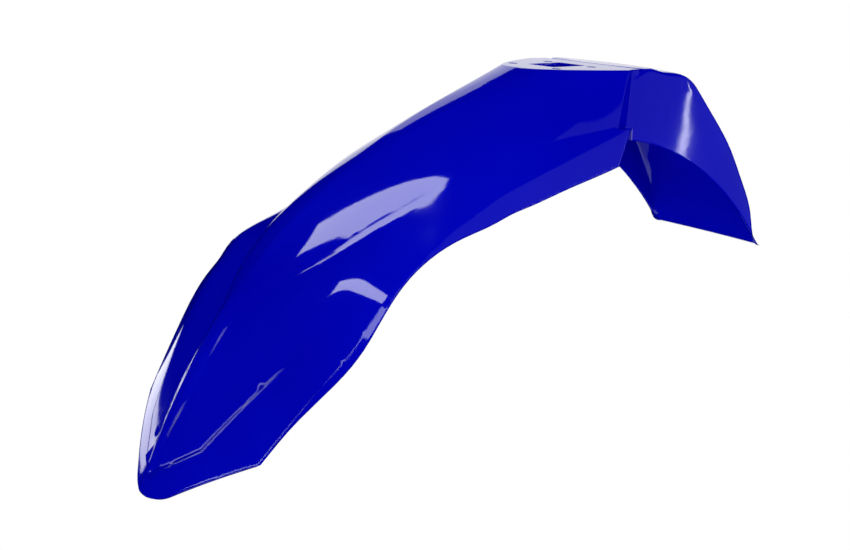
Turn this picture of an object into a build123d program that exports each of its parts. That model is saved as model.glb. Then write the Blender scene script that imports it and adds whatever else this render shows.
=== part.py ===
from build123d import *
import os
from math import atan2, cos, radians, sin

# Front mudguard of an off-road motorcycle, one moulded piece.
# Frame: X forwards to the nose, Y to the rider's left, Z up.
# The origin is the centre of the bolt pattern, on the flat clamp face.

# Overall sizes, mm
nose_reach = 398.6          # bolt centre to the front end of the crest line
nose_drop = 291.5           # clamp face down to that end
hood_back = 52.0            # bolt centre back to the rear end of the crest line
hood_rise = 34.0            # height of the crest line there, above the clamp face
wing_width = 206.0          # widest place, across the wings
tail_reach = 269.0          # bolt centre back to the tail's end
tail_drop = 187.0           # clamp face down to the tail's end
wall = 2.6                  # moulded wall

# Crest line from above the clamp face to the nose, a cubic curve in the middle plane
crest_start_angle = 20.2    # degrees below level, at the rear
crest_end_angle = 66.7      # degrees below level, at the nose
crest_start_pull = 223.4    # length of the rear handle
crest_end_pull = 259.9      # length of the nose handle

# Raised spine along the crest
spine_flat = 7.0            # widest flat on top of the spine
spine_flank = 4.5           # width of each sloping flank
spine_height = 1.7          # drop over a flank

# Panel on the nose, one small step above the flange round it
panel_step = 1.6
panel_half = 37.0           # half width at the panel's front corners
panel_back_half = 67.0      # half width where the step fades out

# Nose outline, seen square to the nose
nose_half_angle = 48.4      # degrees, each side of the middle
nose_radius = 36.0          # round of the tip

# Clamp face with its four holes and its window
clamp_thickness = 3.6
bolt_spacing_x = 44.0
bolt_spacing_y = 52.0
bolt_hole = 8.0             # diameter
boss_diameter = 17.0
boss_height = 2.4
window_length = 40.0
window_width = 30.0
window_front = 14.0         # bolt centre to the window's front edge

# Step at the side, between the hood and the tail
step_half = 56.4            # half width where the step meets the tail
step_start = -41.0          # X of that line
step_slope = 0.366          # how fast the step widens forwards
shelf_drop = 48.5           # clamp face down to the shelf under the step

# Tail
tail_half = 57.0            # half width at the front of the tail
tail_end_half = 65.0        # half width at its end
tail_front = -30.0          # X of the tail's front end, inside the hood
tail_front_drop = -3.4      # clamp face down to the top line there
tail_bend_x = -121.5        # first bend of the top line, sharp corner
tail_bend_drop = 4.6
tail_bend_radius = 52.0
tail_sweep_x = -205.0       # second, soft bend
tail_sweep_drop = 80.5
tail_sweep_radius = 300.0
tail_wall_drop = 59.5       # clamp face down to the side wall's edge, at the front
tail_end_depth = 14.0       # side wall at the end
tail_corner = 4.5           # rounding between the top and the side walls
tail_crown = 7.0            # height of the arch across the tail's end

# Guides: pairs of place along the crest (0 rear, 1 nose) and value
wing_half = wing_width / 2
wing_full = 0.4             # fullness of the wing's curve
shoulder_y = [
    (0.0, 70.0), (0.22, 59.4), (0.4, 58.8), (0.51, 53.4), (0.64, 42.0), (0.73, 21.6), (0.8, 9.3),
    (1.0, 3.5),
]
shoulder_h = [
    (0.0, 76.3), (0.22, 47.3), (0.4, 28.8), (0.51, 25.0), (0.64, 14.4), (0.73, 6.0), (0.8, 3.9),
    (1.0, 1.1),
]
hood_start = [
    (0.0, 5.6), (0.12, 2.5), (0.25, 12.0), (0.4, 22.0), (0.52, 14.0), (0.6, 8.0), (0.66, 6.0),
    (0.73, 9.0), (0.8, 18.0), (1.0, 14.0),
]
hood_end = [
    (0.0, 85.0), (0.12, 81.0), (0.22, 75.0), (0.31, 67.0), (0.4, 62.0), (0.51, 58.0), (0.6, 51.0),
    (0.66, 46.0), (0.73, 38.0), (0.8, 21.0), (1.0, 14.3),
]
hood_full = [
    (0.0, 0.63), (0.12, 0.4), (0.25, 0.29), (0.4, 0.26), (0.52, 0.31), (0.64, 0.28), (1.0, 0.333),
]
rim_y = [
    (0.0, 0.64), (0.08, 0.654), (0.17, 0.672), (0.28, 0.712), (0.4, 0.757), (0.47, 0.791),
    (0.54, 0.828), (0.58, 0.859), (0.67, 0.976), (0.74, 0.995), (0.87, 0.845), (1.0, 0.635),
]
rim_h = [
    (0.0, 75.0), (0.08, 70.9), (0.17, 66.2), (0.28, 60.5), (0.4, 54.0), (0.47, 50.2),
    (0.54, 46.6), (0.58, 44.1), (0.67, 34.4), (0.74, 35.0), (0.87, 28.5), (1.0, 17.0),
]
wing_start = [
    (0.0, 66.0), (0.08, 58.0), (0.17, 46.0), (0.28, 44.0), (0.4, 37.0), (0.51, 25.0), (0.64, 15.0),
    (0.74, 10.0), (0.85, 13.0), (1.0, 13.0),
]
wing_end = [
    (0.0, 76.0), (0.08, 72.0), (0.17, 61.0), (0.28, 64.0), (0.4, 63.0), (0.51, 50.0), (0.64, 46.0),
    (0.74, 36.0), (0.87, 26.0), (1.0, 16.0),
]
fold_share = [
    (0.0, 0.6), (0.3, 0.7), (0.5, 0.8), (0.57, 0.79), (0.68, 0.71), (0.78, 0.74), (0.85, 0.72),
    (0.92, 0.8), (1.0, 0.85),
]
fold_turn = [(0.5, 0.0), (0.6, 9.0), (0.7, 12.0), (0.77, 10.0), (0.84, 0.0)]
fold_drop = [(0.5, 0.0), (0.6, 0.6), (0.7, 1.1), (0.77, 0.8), (0.84, 0.0)]
edge_y = [
    (0.0, 0.657), (0.12, 0.689), (0.24, 0.724), (0.31, 0.752), (0.38, 0.782), (0.45, 0.809),
    (0.52, 0.834), (0.58, 0.872), (0.64, 0.962), (0.69, 1.0), (0.74, 1.006), (0.79, 0.972),
    (0.84, 0.899), (0.89, 0.825), (0.94, 0.743), (1.0, 0.638),
]
edge_h = [
    (0.0, 105.4), (0.12, 94.4), (0.24, 83.7), (0.31, 77.3), (0.38, 70.3), (0.45, 62.2),
    (0.52, 53.4), (0.58, 47.8), (0.64, 41.2), (0.69, 41.2), (0.74, 42.7), (0.79, 40.7),
    (0.84, 35.8), (0.89, 30.7), (0.94, 25.0), (1.0, 17.9),
]
spine_scale = [(0.0, 1.6), (0.3, 1.5), (0.55, 0.9), (0.85, 1.0), (1.0, 0.35)]
flank_scale = [(0.0, 0.25), (0.4, 0.3), (0.62, 0.75), (0.85, 1.0), (1.0, 0.35)]
flange_step = [(0.72, -1.6), (0.78, -0.2), (0.84, 0.7), (0.9, 1.0), (1.0, 1.0)]
stations = [
    0.0, 0.06, 0.12, 0.18, 0.24, 0.31, 0.38, 0.45, 0.52, 0.58, 0.64, 0.69, 0.74, 0.79, 0.84,
    0.89, 0.94, 1.0,
]


def along(knots, u):
    """Value at u of a smooth curve through the pairs, without overshoot."""
    if u <= knots[0][0]:
        return knots[0][1]
    if u >= knots[-1][0]:
        return knots[-1][1]
    steps = [(b[0] - a[0], (b[1] - a[1]) / (b[0] - a[0])) for a, b in zip(knots, knots[1:])]
    slopes = [steps[0][1]]
    for (wa, da), (wb, db) in zip(steps, steps[1:]):
        turns = da * db <= 0
        slopes.append(0.0 if turns else (wa + wb) / (wa / da + wb / db))
    slopes.append(steps[-1][1])
    i = max(k for k in range(len(steps)) if knots[k][0] <= u)
    w = steps[i][0]
    t = (u - knots[i][0]) / w
    a, b = knots[i][1], knots[i + 1][1]
    ease = t * t * (3 - 2 * t)
    return a + (b - a) * ease + w * (slopes[i] * t * (1 - t) ** 2 - slopes[i + 1] * t * t * (1 - t))


def heading(angle):
    """Direction in a section: outwards and down by the angle in degrees."""
    return Vector(cos(radians(angle)), -sin(radians(angle)))


def outward(angle):
    """Direction square to heading, out of the skin."""
    return Vector(sin(radians(angle)), cos(radians(angle)))


def slope(a, b):
    return 57.29578 * atan2(a.Y - b.Y, b.X - a.X)


def cubic(a, b, c, d, t):
    """Point on a cubic curve and its direction there."""
    s = 1 - t
    at = a * s**3 + b * (3 * s * s * t) + c * (3 * s * t * t) + d * t**3
    run = (b - a) * (s * s) + (c - b) * (2 * s * t) + (d - c) * (t * t)
    return at, run.normalized()


crest_rear = Vector(-hood_back, hood_rise)
crest_nose = Vector(nose_reach, -nose_drop)
crest_rear_handle = crest_rear + heading(crest_start_angle) * crest_start_pull
crest_nose_handle = crest_nose - heading(crest_end_angle) * crest_end_pull


def crest_frame(u):
    """Section plane at u: its own X is the width, its own Y the height above the crest."""
    at, run = cubic(crest_rear, crest_rear_handle, crest_nose_handle, crest_nose, u)
    return Plane(origin=(at.X, 0, at.Y), x_dir=(0, 1, 0), z_dir=(run.X, 0, run.Y))


def hood_nodes(u):
    """Corners of one half section, with the skin's angle before and after each, and the curve fullness."""
    half = spine_flat / 2 * along(spine_scale, u)
    wide = spine_flank * along(spine_scale, u)
    fall = spine_height * along(flank_scale, u)
    p1 = Vector(half, 0)
    p2 = Vector(half + wide, -fall)
    p3 = Vector(max(along(shoulder_y, u), half + wide + 1.0), -max(along(shoulder_h, u), fall + 0.25))
    ledge = 2.0 + 2.5 * (1 - abs(2 * u - 1))
    p4 = p3 + heading(0.5 * along(hood_end, u) + 0.4 * along(wing_start, u)) * min(ledge, 4.0)
    p6 = Vector(wing_half * along(rim_y, u), -along(rim_h, u))
    p7 = Vector(wing_half * along(edge_y, u), -along(edge_h, u))
    start, end = along(wing_start, u), along(wing_end, u)
    pull = wing_full * (p6 - p4).length
    on_wing, run = cubic(p4, p4 + heading(start) * pull, p6 - heading(end) * pull, p6, along(fold_share, u))
    lean = slope(Vector(0, 0), run)
    turn = along(fold_turn, u)
    p5 = on_wing - outward(lean) * along(fold_drop, u)
    return [
        (p1, 0.0, slope(p1, p2), 0.333),
        (p2, slope(p1, p2), along(hood_start, u), along(hood_full, u)),
        (p3, along(hood_end, u), slope(p3, p4), 0.333),
        (p4, slope(p3, p4), start, 0.36),
        (p5, lean + 0.7 * turn, lean - 0.3 * turn, 0.36),
        (p6, end, slope(p6, p7), 0.333),
        (p7, slope(p6, p7), slope(p6, p7), 0.333),
    ]


def tail_nodes(v):
    """The same for the tail, v from 0 at its front to 1 at its end."""
    half = tail_half + (tail_end_half - tail_half) * v
    corner = tail_corner
    crown = 1.0 + (tail_crown - 1.0) * v
    depth = tail_depth(v)
    p1 = Vector(half - corner, -crown)
    p2 = Vector(half, -crown - corner)
    p3 = Vector(half + 0.02 * depth, -depth)
    arch = 116 * crown / p1.X
    return [
        (p1, arch, arch + 9.0, 0.5),
        (p2, 86.0, slope(p2, p3), 0.333),
        (p3, slope(p2, p3), slope(p2, p3), 0.333),
    ]


def inset(nodes, by, longer):
    """Nodes moved inwards by the wall; the last goes further down."""
    moved = []
    for p, before, after, full in nodes:
        a, b = outward(before), outward(after)
        moved.append((p - (a + b) * (by / (1 + a.dot(b))), before, after, full))
    p, before, after, full = moved[-1]
    moved[-1] = (p + heading(before) * longer, before, after, full)
    return moved


def section(plane, nodes):
    """Closed wire over both halves, with a straight line across the open side."""
    def put(p, side):
        return plane.from_local_coords((side * p.X, p.Y, 0))

    edges = []
    first = nodes[0]
    bulge = first[0] + heading(180 + first[1]) * (first[0].X * 0.66)
    edges.append(Edge.make_bezier(put(first[0], -1), put(bulge, -1), put(bulge, 1), put(first[0], 1)))
    for (a, _, start, full), (b, end, _, _) in zip(nodes, nodes[1:]):
        pull = full * (b - a).length
        ca, cb = a + heading(start) * pull, b - heading(end) * pull
        edges.append(Edge.make_bezier(put(a, 1), put(ca, 1), put(cb, 1), put(b, 1)))
        edges.append(Edge.make_bezier(put(b, -1), put(cb, -1), put(ca, -1), put(a, -1)))
    last = nodes[-1][0]
    edges.append(Edge.make_line(put(last, 1), put(last, -1)))
    return Wire(edges)


def prism(points, low, high):
    """Upright block over a plan outline."""
    outline = make_face(Polyline(*points, close=True))
    return extrude(Plane.XY.offset(low) * outline, high - low)


# Hood and wings: outer skin, and the hollow one wall inside it
hood_outer = Solid.make_loft([section(crest_frame(u), hood_nodes(u)) for u in stations])
hood_inner = Solid.make_loft([section(crest_frame(u), inset(hood_nodes(u), wall, 30.0)) for u in stations])

# Nose frame: its own X is the width, its own Y runs forwards along the skin
nose_at = crest_frame(0.93)
nose_plane = Plane(origin=nose_at.origin, x_dir=(0, -1, 0), z_dir=nose_at.y_dir)


def nose_y(u, h=0.0):
    """Place along the nose frame of a point at u on the crest and h under it."""
    frame = crest_frame(u)
    return nose_plane.to_local_coords(frame.origin - frame.y_dir * h).Y


# Flange round the nose panel: one step lower than the panel, outside the panel's outline
def flange_block(lower):
    """Block over the flange, its underside the given amount under the flange's skin."""
    wires = []
    for u in (0.72, 0.78, 0.84, 0.9, 0.95, 1.0):
        frame = crest_frame(u)
        down = Vector(0, -panel_step * along(flange_step, u) - lower)
        nodes = hood_nodes(u)
        a, b = nodes[3][0] + down, nodes[5][0] + down
        pull = wing_full * (b - a).length
        ca, cb = a + heading(nodes[3][2]) * pull, b - heading(nodes[5][1]) * pull
        out = b + heading(nodes[5][1]) * 30.0
        half = [a, ca, cb, b, out, Vector(out.X, 40.0)]
        near = [frame.from_local_coords((p.X, p.Y, 0)) for p in half]
        far = [frame.from_local_coords((-p.X, p.Y, 0)) for p in half]
        wires.append(Wire([
            Edge.make_line(far[0], near[0]),
            Edge.make_bezier(*near[:4]),
            Edge.make_line(near[3], near[4]),
            Edge.make_line(near[4], near[5]),
            Edge.make_line(near[5], far[5]),
            Edge.make_line(far[5], far[4]),
            Edge.make_line(far[4], far[3]),
            Edge.make_bezier(*reversed(far[:4])),
        ]))
    return Solid.make_loft(wires)


def panel_block(inside):
    """Block through the panel's outline, drawn in by the given amount."""
    tip = nose_y(0.977) - 1.2 * inside
    front = nose_y(0.928, 7.6)
    back = nose_y(0.812, 23.0)
    half = [(panel_half - inside, front), (panel_back_half - inside, back),
            (panel_back_half + 55.0 - inside, back - 90.0)]
    outline = [(0, tip)] + half + [(-x, y) for x, y in reversed(half)]
    return extrude(nose_plane * make_face(Polyline(*outline, close=True)), 90.0, both=True)


hood_outer = hood_outer - (flange_block(0.0) - panel_block(0.0))
hood_inner = hood_inner - (flange_block(wall) - panel_block(wall))

# Nose outline: everything in front of a rounded V comes off
nose_tip = nose_y(0.996)
v_half = radians(nose_half_angle)
v_point = nose_tip + nose_radius * (1 / sin(v_half) - 1)
v_back = v_point - 130.0 * cos(v_half) / sin(v_half)
v_outline = make_face(Polyline(
    (0, v_point),
    (130, v_back),
    (130, v_point + 60),
    (-130, v_point + 60),
    (-130, v_back),
    close=True,
))
v_corner = v_outline.vertices().sort_by_distance((0, v_point, 0))[0]
v_outline = fillet(v_corner, nose_radius)
hood_outer = hood_outer - extrude(nose_plane * v_outline, 60.0, both=True)


def step_block(inside, low):
    """Blocks outside the step's line on both sides, down to a level."""
    half = step_half - inside
    far = 60.0
    points = [
        (step_start - 60, half),
        (step_start, half),
        (step_start + far, half + step_slope * far),
        (step_start + far, half + 90),
        (step_start - 60, half + 90),
    ]
    block = prism(points, low, 60.0)
    return block + mirror(block, about=Plane.XZ)


hood_outer = hood_outer - step_block(0.0, -shelf_drop)
hood_inner = hood_inner - step_block(wall, -shelf_drop - wall)

# Rear end of the skirt under the shelf, sloping forwards as it goes down
skirt_top = -32.0
skirt_low = -17.0
skirt_end = make_face(Polyline(
    (skirt_top, -shelf_drop),
    (skirt_low - (skirt_top - skirt_low) * 1.2, -shelf_drop - 66),
    (-140, -shelf_drop - 66),
    (-140, -shelf_drop),
    close=True,
))
hood_outer = hood_outer - extrude(Plane.XZ * skirt_end, 130.0, both=True)

# Rear end of the hood, where the tail goes on from the clamp face
hood_end_x = -50.0
hood_outer = hood_outer - Pos(hood_end_x - 100, 0, 0) * Box(200, 400, 500)

# Tail: outer skin and hollow, between a bent top line and the edge of its side wall
tail_top = FilletPolyline(
    (tail_front, tail_front_drop * -1),
    (tail_bend_x, -tail_bend_drop),
    (tail_sweep_x, -tail_sweep_drop),
    (-tail_reach, -tail_drop),
    radius=(tail_bend_radius, tail_sweep_radius),
)
edge_front = Vector(tail_front, -tail_wall_drop)
edge_front_handle = edge_front + heading(176) * 75
edge_end = Vector(-tail_reach, -tail_drop) + heading(-10) * tail_end_depth
edge_end_handle = edge_end - heading(132) * 105


def tail_rise(v):
    """From the wall's edge up to the top line at v."""
    low, run = cubic(edge_front, edge_front_handle, edge_end_handle, edge_end, v)
    return tail_top.position_at(v) - low


def tail_depth(v):
    return tail_rise(v).length


def tail_frame(v):
    """Section plane at v: its own Y runs from the edge up to the top line."""
    top = tail_top.position_at(v)
    up = tail_rise(v).normalized()
    return Plane(origin=(top.X, 0, top.Y), x_dir=(0, 1, 0), z_dir=(up.Y, 0, -up.X))


tail_stations = [0.0, 0.08, 0.16, 0.22, 0.26, 0.3, 0.34, 0.38, 0.43, 0.5, 0.6, 0.72, 0.86, 1.0]
tail_wires = [section(tail_frame(v), tail_nodes(v)) for v in tail_stations]
hollow_wires = [section(tail_frame(v), inset(tail_nodes(v), wall, 14.0)) for v in tail_stations]
tail_end = tail_frame(1.0)
beyond = Plane(tail_end.origin + Vector(-5, 0, -8), x_dir=tail_end.x_dir, z_dir=tail_end.z_dir)
end_wires = [hollow_wires[-1], section(beyond, inset(tail_nodes(1.0), wall, 14.0))]
tail_outer = Solid.make_loft(tail_wires)
tail_inner = Solid.make_loft(hollow_wires) + Solid.make_loft(end_wires, ruled=True)

# One shell: skins cut flat at the clamp face and joined, then hollowed
clamp_cut = Pos(0, 0, 100) * Box(900, 400, 200)
under_clamp = Pos(0, 0, 100 - clamp_thickness) * Box(900, 400, 200)
back_stop = Pos(-244, 0, -100) * Box(400, 400, 500)
tail_cheeks = Pos(-44, 0, -shelf_drop - wall - 50) * Box(26, 2 * tail_half - 0.4, 100)
outer = (hood_outer - clamp_cut) + (tail_outer - clamp_cut)
shell = outer - (hood_inner - back_stop - tail_cheeks - under_clamp) - (tail_inner - under_clamp)

# Bosses under the clamp face, holes and window
bolts = GridLocations(bolt_spacing_x, bolt_spacing_y, 2, 2)
boss_low = -clamp_thickness - boss_height
for spot in bolts:
    shell = shell + Pos(0, 0, boss_low) * spot * extrude(Circle(boss_diameter / 2), boss_height + 1)
for spot in bolts:
    shell = shell - Pos(0, 0, boss_low - 5) * spot * extrude(Circle(bolt_hole / 2), 30)
window_at = Pos(window_front - window_length / 2, 0, 0)
shell = shell - window_at * Box(window_length, window_width, 30)

os.makedirs("parts", exist_ok=True)
export_step(shell, "parts/mudguard_shell.step")
print("solids", len(shell.solids()), "volume", round(shell.volume), "valid", shell.is_valid)
print("box", shell.bounding_box())
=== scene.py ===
import math

import bmesh
import bpy
import numpy as np
from mathutils import Matrix, Quaternion, Vector
from mathutils.kdtree import KDTree


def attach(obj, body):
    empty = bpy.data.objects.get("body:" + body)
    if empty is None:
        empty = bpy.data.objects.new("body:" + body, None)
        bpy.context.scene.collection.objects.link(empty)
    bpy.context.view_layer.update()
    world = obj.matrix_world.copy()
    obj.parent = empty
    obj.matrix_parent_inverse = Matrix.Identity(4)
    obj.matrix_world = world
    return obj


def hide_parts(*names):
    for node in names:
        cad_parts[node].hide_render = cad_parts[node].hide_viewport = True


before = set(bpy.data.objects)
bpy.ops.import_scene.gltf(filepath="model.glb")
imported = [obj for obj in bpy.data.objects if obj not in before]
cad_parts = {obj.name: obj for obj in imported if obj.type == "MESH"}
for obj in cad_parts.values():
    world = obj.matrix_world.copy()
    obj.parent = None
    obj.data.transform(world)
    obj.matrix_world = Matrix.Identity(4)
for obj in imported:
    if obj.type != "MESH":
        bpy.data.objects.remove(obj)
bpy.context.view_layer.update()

GUARD_NODE = "mudguard_shell"

# Camera: its place in metres, its axes, and the lens
IMAGE_WIDTH = 850.0             # pixels
FOCAL_PIXELS = 1050.0
SENSOR_WIDTH = 36.0             # millimetres
CLIP_START = 0.01
CAMERA_PLACE = (0.68158, 0.64015, 0.08182)
CAMERA_RIGHT = (-0.7675, 0.6401, 0.0342)
CAMERA_UP = (-0.1576, -0.2401, 0.9579)
CAMERA_BACK = (0.6214, 0.7298, 0.2852)

# Set, in metres
FLOOR_HEIGHT = -1.4
FLOOR_RADIUS = 0.42
FLOOR_MIDDLE = (0.06, 0.0)
FLOOR_SIDES = 96
BACKDROP_RADIUS = 2.6
BACKDROP_RISE = 3.1
BACKDROP_SPREAD = math.radians(44)
BACKDROP_HEADING = math.radians(-130)
BACKDROP_STEPS = 48
BACKDROP_MIDDLE = (0.0, 0.0, 0.0)
BACKDROP_REACH = 1.0
WHITE = (1.0, 1.0, 1.0, 1.0)
PAPER = (0.85, 0.85, 0.85, 1.0)
MIDDLE_GLOW = 0.82              # share of plain white in the middle of a reach
GLOW_EDGES = (0.3, 0.95)        # where that share rises to 1, as parts of the reach
SKY_FILL = 0.82                 # world light on matt colour

# Lamps: name, place, target, width, height, radiance, roll in degrees
GLOSS_LAMPS = (
    ("ceiling_softbox", (0.509, 0.479, 1.51), (0.509, 0.479, 0.0), 0.64, 2.34, 7.5, 30.0),
    ("side_panel", (0.1, 2.2, -0.1), (0.1, 0.0, -0.1), 2.6, 0.7, 4.0, 0.0),
    ("front_panel", (2.4, 0.6, -0.1), (0.3, 0.0, -0.2), 2.6, 0.5, 6.5, 0.0),
    ("far_rim_strip", (0.411, -1.549, -0.5), (0.36, -0.08, -0.2), 0.58, 0.16, 2.4, 0.0),
    ("tail_strip", (-1.303, 0.968, -0.207), (-0.12, 0.06, -0.05), 0.024, 0.5, 9.0, -22.0),
    ("rear_card", (-1.63, 1.23, -0.03), (-0.05, 0.0, -0.06), 1.5, 1.3, 0.15, 0.0),
)
FILL_LAMPS = (
    ("side_key", (0.3, 2.0, 0.5), (0.1, 0.0, -0.1), 1.5, 1.0, 2.0, 0.0),
)

# Shell: how fine its faces are, and how its directions are evened
FACE_SPAN = 0.006               # longest edge that stays whole
CUT_ROUNDS = 4
MERGE_GAP = 1e-8
FACING_LAYER = "facing"
FACING_DIGITS = 2               # corners of one point that agree to this share a direction
CREASE_ANGLE = 13.0             # degrees; a turn beyond it stays a crease
SEARCH_COUNT = 160
FIT_LEAST = 6
FIT_COUNT = 30
FIT_REACH = 0.012
FIT_SHARE = 0.7                 # reach, as a part of the distance to the last of FIT_COUNT
FIT_DAMPING = 0.02

# Gloss plastic
DEEP_BLUE = (0.0, 0.0, 0.43, 1.0)
FLOW_BLUE = (0.0, 0.001, 0.50, 1.0)
FLOW_STRETCH = (0.35, 1.0, 1.0)
FLOW_SCALE, FLOW_DETAIL, FLOW_EDGES = 9.0, 3.0, (0.32, 0.7)
RUB_SCALE, RUB_DETAIL, RUB_BREAKUP, RUB_EDGES = 42.0, 5.0, 0.6, (0.5, 0.8)
GRAIN_SCALE, GRAIN_DETAIL = 900.0, 2.0
PEEL_SCALE, PEEL_DETAIL = 160.0, 1.0
GLOSS_ROUGHNESS, RUB_ROUGHNESS, GRAIN_ROUGHNESS = 0.05, 0.03, 0.01
PEEL_SHARE = 0.8                # of the relief; the grain is the rest
RELIEF_STRENGTH, RELIEF_DEPTH = 0.05, 0.0004
EDGE_ROUND, EDGE_SAMPLES = 0.0026, 8
PLASTIC_IOR = 1.49

# Places of sockets on their nodes
OBJECT_PLACE = 3
CAMERA_RAY, DIFFUSE_RAY, GLOSSY_RAY, TRANSMISSION_RAY = 0, 2, 3, 6
MIX_FIRST_COLOUR, MIX_SECOND_COLOUR, MIX_COLOUR_RESULT = 6, 7, 2
VECTOR_MATH_VALUE = 1


# Shader expressions

class Signal:
    """A socket that adds Math nodes when it is used in an expression."""

    def __init__(self, shop, socket):
        self.shop = shop
        self.socket = socket

    def _math(self, operation, other):
        settings = {"operation": operation}
        return self.shop.node("ShaderNodeMath", settings, {0: self, 1: other})[0]

    def __add__(self, other):
        return self._math("ADD", other)

    __radd__ = __add__

    def __mul__(self, other):
        return self._math("MULTIPLY", other)

    __rmul__ = __mul__

    def most(self, other):
        return self._math("MAXIMUM", other)


class Shop:
    """The nodes of one material or world."""

    def __init__(self, owner):
        owner.use_nodes = True
        self.tree = owner.node_tree
        self.tree.nodes.clear()

    def node(self, kind, settings=None, inputs=None):
        made = self.tree.nodes.new(kind)
        for name, value in (settings or {}).items():
            setattr(made, name, value)
        for key, value in (inputs or {}).items():
            if isinstance(value, Signal):
                self.tree.links.new(value.socket, made.inputs[key])
            else:
                made.inputs[key].default_value = value
        return [Signal(self, socket) for socket in made.outputs]


def ramp(shop, value, low, high):
    """A smooth step from 0 at low to 1 at high."""
    return shop.node(
        "ShaderNodeMapRange",
        {"interpolation_type": "SMOOTHSTEP"},
        {"Value": value, "From Min": low, "From Max": high, "To Min": 0.0, "To Max": 1.0},
    )[0]


def noise(shop, place, scale, detail, breakup=0.5):
    return shop.node(
        "ShaderNodeTexNoise",
        {"noise_dimensions": "3D"},
        {"Vector": place, "Scale": scale, "Detail": detail, "Roughness": breakup},
    )[0]


def blend_colour(shop, mask, first, second):
    return shop.node(
        "ShaderNodeMix",
        {"data_type": "RGBA", "blend_type": "MIX"},
        {0: mask, MIX_FIRST_COLOUR: first, MIX_SECOND_COLOUR: second},
    )[MIX_COLOUR_RESULT]


# Finishes

def moulded_plastic():
    """Coloured gloss plastic: faint flow shading, a fine mould texture, light rubbing marks."""
    finish = bpy.data.materials.new("gloss_plastic")
    shop = Shop(finish)
    place = shop.node("ShaderNodeTexCoord")[OBJECT_PLACE]
    stretched = shop.node(
        "ShaderNodeMapping", {}, {"Vector": place, "Scale": FLOW_STRETCH}
    )[0]
    flow = ramp(shop, noise(shop, stretched, FLOW_SCALE, FLOW_DETAIL), *FLOW_EDGES)
    colour = blend_colour(shop, flow, DEEP_BLUE, FLOW_BLUE)
    rubbed = noise(shop, stretched, RUB_SCALE, RUB_DETAIL, RUB_BREAKUP)
    rub = ramp(shop, rubbed, *RUB_EDGES)
    grain = noise(shop, place, GRAIN_SCALE, GRAIN_DETAIL)
    roughness = GLOSS_ROUGHNESS + RUB_ROUGHNESS * rub + GRAIN_ROUGHNESS * grain
    peel = noise(shop, place, PEEL_SCALE, PEEL_DETAIL)
    relief = peel * PEEL_SHARE + grain * (1.0 - PEEL_SHARE)
    rounded = shop.node("ShaderNodeBevel", {"samples": EDGE_SAMPLES}, {"Radius": EDGE_ROUND})[0]
    normal = shop.node(
        "ShaderNodeBump",
        {},
        {
            "Strength": RELIEF_STRENGTH,
            "Distance": RELIEF_DEPTH,
            "Height": relief,
            "Normal": rounded,
        },
    )[0]
    skin = shop.node(
        "ShaderNodeBsdfPrincipled",
        {},
        {"Base Color": colour, "Roughness": roughness, "Normal": normal, "IOR": PLASTIC_IOR},
    )[0]
    shop.node("ShaderNodeOutputMaterial", {}, {"Surface": skin})
    return finish


def studio_white(name, middle, reach):
    """Matt white that shows as plain white to the camera and in reflections.

    Inside the reach a share of the matt surface stays, and with it the shadow."""
    finish = bpy.data.materials.new(name)
    shop = Shop(finish)
    path = shop.node("ShaderNodeLightPath")
    seen = path[CAMERA_RAY].most(path[GLOSSY_RAY]).most(path[TRANSMISSION_RAY])
    place = shop.node("ShaderNodeTexCoord")[OBJECT_PLACE]
    away = shop.node(
        "ShaderNodeVectorMath", {"operation": "DISTANCE"}, {0: place, 1: middle}
    )[VECTOR_MATH_VALUE]
    rise = ramp(shop, away, *(edge * reach for edge in GLOW_EDGES))
    share = MIDDLE_GLOW + (1.0 - MIDDLE_GLOW) * rise
    matt = shop.node("ShaderNodeBsdfDiffuse", {}, {"Color": PAPER})[0]
    glow = shop.node("ShaderNodeEmission", {}, {"Color": WHITE, "Strength": 1.0})[0]
    mixed = shop.node("ShaderNodeMixShader", {}, {0: seen * share, 1: matt, 2: glow})[0]
    shop.node("ShaderNodeOutputMaterial", {}, {"Surface": mixed})
    return finish


def link_mesh(name, shape, finish):
    mesh = bpy.data.meshes.new(name)
    shape.to_mesh(mesh)
    shape.free()
    mesh.materials.append(finish)
    thing = bpy.data.objects.new(name, mesh)
    bpy.context.scene.collection.objects.link(thing)
    return thing


# Shell

def known_facings(source):
    """The points of a mesh, and the direction that the skin faces at each."""
    spots = np.array([point.co for point in source.vertices])
    facings = np.zeros((len(spots), 3))
    for corner, facing in zip(source.loops, source.corner_normals):
        facings[corner.vertex_index] += facing.vector
    return spots, facings / np.linalg.norm(facings, axis=1, keepdims=True)


def finer_copy(source, facings):
    """A merged copy of a mesh with shorter edges, and the layer of its corners' directions."""
    shape = bmesh.new()
    shape.from_mesh(source)
    layer = shape.loops.layers.float_vector.new(FACING_LAYER)
    for face in shape.faces:
        face.smooth = True
        for corner in face.loops:
            corner[layer] = facings[corner.vert.index]
    bmesh.ops.remove_doubles(shape, verts=shape.verts, dist=MERGE_GAP)
    for _ in range(CUT_ROUNDS):
        long_edges = [edge for edge in shape.edges if edge.calc_length() > FACE_SPAN]
        bmesh.ops.subdivide_edges(shape, edges=long_edges, cuts=1, use_single_edge=True)
        bmesh.ops.triangulate(shape, faces=shape.faces)
    shape.verts.index_update()
    return shape, layer


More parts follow.
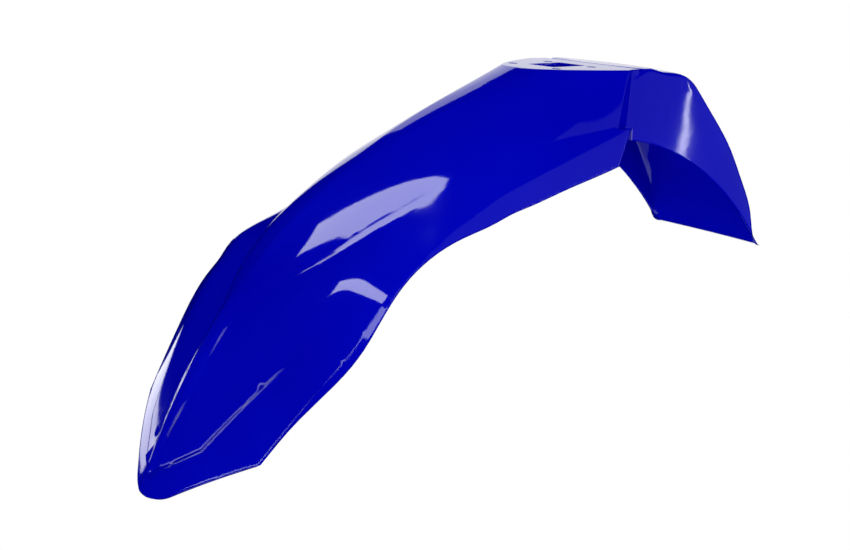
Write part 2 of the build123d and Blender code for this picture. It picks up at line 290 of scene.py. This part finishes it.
def even_facing(spots, facings, points, guesses):
    """Directions at the points, each from a flat fit through the known directions near it."""
    tree = KDTree(len(spots))
    for index, spot in enumerate(spots):
        tree.insert(spot, index)
    tree.balance()
    alike = math.cos(math.radians(CREASE_ANGLE))
    damping = np.diag((0.0, FIT_DAMPING, FIT_DAMPING, FIT_DAMPING))
    result = np.array(guesses)
    for index, point in enumerate(points):
        near = np.array([found[1] for found in tree.find_n(point, SEARCH_COUNT)])
        near = near[facings[near] @ guesses[index] > alike]
        if len(near) < FIT_LEAST:
            continue
        offset = spots[near] - point
        away = np.linalg.norm(offset, axis=1)
        reach = max(FIT_REACH, FIT_SHARE * away[min(FIT_COUNT, len(near)) - 1])
        weight = np.exp(-(away / reach) ** 2)
        terms = np.column_stack((np.ones(len(near)), offset / reach))
        weighted = terms * weight[:, None]
        square = weighted.T @ terms + damping
        result[index] = np.linalg.solve(square, weighted.T @ facings[near])[0]
    return result / np.linalg.norm(result, axis=1, keepdims=True)


def even_corners(shape, layer, spots, facings):
    """Gives each corner the evened direction of its own side of a crease."""
    rows = {}
    corners = []
    for face in shape.faces:
        for corner in face.loops:
            guess = corner[layer].normalized()
            key = (corner.vert.index, *(round(part, FACING_DIGITS) for part in guess))
            row = rows.setdefault(key, (len(rows), corner.vert.co.copy(), guess))
            corners.append((corner, row[0]))
    points = np.array([row[1] for row in rows.values()])
    guesses = np.array([row[2] for row in rows.values()])
    even = even_facing(spots, facings, points, guesses)
    for corner, row in corners:
        corner[layer] = even[row]


def make_shell(guard):
    """The shell in its own form, with finer faces and an even gloss."""
    spots, facings = known_facings(guard.data)
    shape, layer = finer_copy(guard.data, facings)
    even_corners(shape, layer, spots, facings)
    shell = link_mesh("shell", shape, moulded_plastic())
    kept = shell.data.attributes[FACING_LAYER]
    shell.data.normals_split_custom_set([value.vector[:] for value in kept.data])
    shell.data.attributes.remove(shell.data.attributes[FACING_LAYER])
    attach(shell, "root")
    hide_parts(GUARD_NODE)


# Set

def make_floor():
    middle = (*FLOOR_MIDDLE, FLOOR_HEIGHT)
    shape = bmesh.new()
    bmesh.ops.create_circle(shape, cap_ends=True, segments=FLOOR_SIDES, radius=FLOOR_RADIUS)
    bmesh.ops.translate(shape, verts=shape.verts, vec=middle)
    finish = studio_white("floor_white", middle, FLOOR_RADIUS)
    link_mesh("floor", shape, finish)


def make_backdrop():
    shape = bmesh.new()
    foot = shape.verts.new((BACKDROP_RADIUS, 0.0, FLOOR_HEIGHT))
    head = shape.verts.new((BACKDROP_RADIUS, 0.0, FLOOR_HEIGHT + BACKDROP_RISE))
    edge = shape.edges.new((foot, head))
    bmesh.ops.spin(
        shape, geom=[foot, head, edge], cent=(0.0, 0.0, 0.0), axis=(0.0, 0.0, 1.0),
        angle=BACKDROP_SPREAD, steps=BACKDROP_STEPS,
    )
    turn = Matrix.Rotation(BACKDROP_HEADING - BACKDROP_SPREAD / 2, 4, "Z")
    bmesh.ops.transform(shape, matrix=turn, verts=shape.verts)
    finish = studio_white("backdrop_white", BACKDROP_MIDDLE, BACKDROP_REACH)
    link_mesh("backdrop", shape, finish)


def make_softbox(name, place, target, width, height, radiance, roll, fills):
    """A flat lamp of even radiance.

    One that fills lights only the matt colour, and the others give only gloss."""
    lamp = bpy.data.lights.new(name, "AREA")
    lamp.shape = "RECTANGLE"
    lamp.size = width
    lamp.size_y = height
    lamp.energy = radiance * math.pi * width * height
    thing = bpy.data.objects.new(name, lamp)
    thing.location = place
    aim = (Vector(target) - Vector(place)).to_track_quat("-Z", "Y")
    spin = Quaternion((0.0, 0.0, 1.0), math.radians(roll))
    thing.rotation_euler = (aim @ spin).to_euler()
    thing.visible_camera = False
    thing.visible_diffuse = fills
    thing.visible_glossy = not fills
    bpy.context.scene.collection.objects.link(thing)


def make_world():
    world = bpy.data.worlds.new("studio")
    bpy.context.scene.world = world
    shop = Shop(world)
    path = shop.node("ShaderNodeLightPath")
    strength = path[CAMERA_RAY] + path[DIFFUSE_RAY] * SKY_FILL
    air = shop.node("ShaderNodeBackground", {}, {"Color": WHITE, "Strength": strength})[0]
    shop.node("ShaderNodeOutputWorld", {}, {"Surface": air})


def make_camera():
    lens = bpy.data.cameras.new("camera")
    lens.sensor_fit = "HORIZONTAL"
    lens.sensor_width = SENSOR_WIDTH
    lens.lens = FOCAL_PIXELS / IMAGE_WIDTH * SENSOR_WIDTH
    lens.clip_start = CLIP_START
    camera = bpy.data.objects.new("camera", lens)
    axes = Matrix((CAMERA_RIGHT, CAMERA_UP, CAMERA_BACK)).transposed().to_4x4()
    camera.matrix_world = Matrix.Translation(CAMERA_PLACE) @ axes
    bpy.context.scene.collection.objects.link(camera)
    bpy.context.scene.camera = camera


make_shell(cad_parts[GUARD_NODE])
make_floor()
make_backdrop()
for lamp_row in GLOSS_LAMPS:
    make_softbox(*lamp_row, fills=False)
for lamp_row in FILL_LAMPS:
    make_softbox(*lamp_row, fills=True)
make_world()
make_camera()
bpy.context.scene.view_settings.view_transform = "Standard"
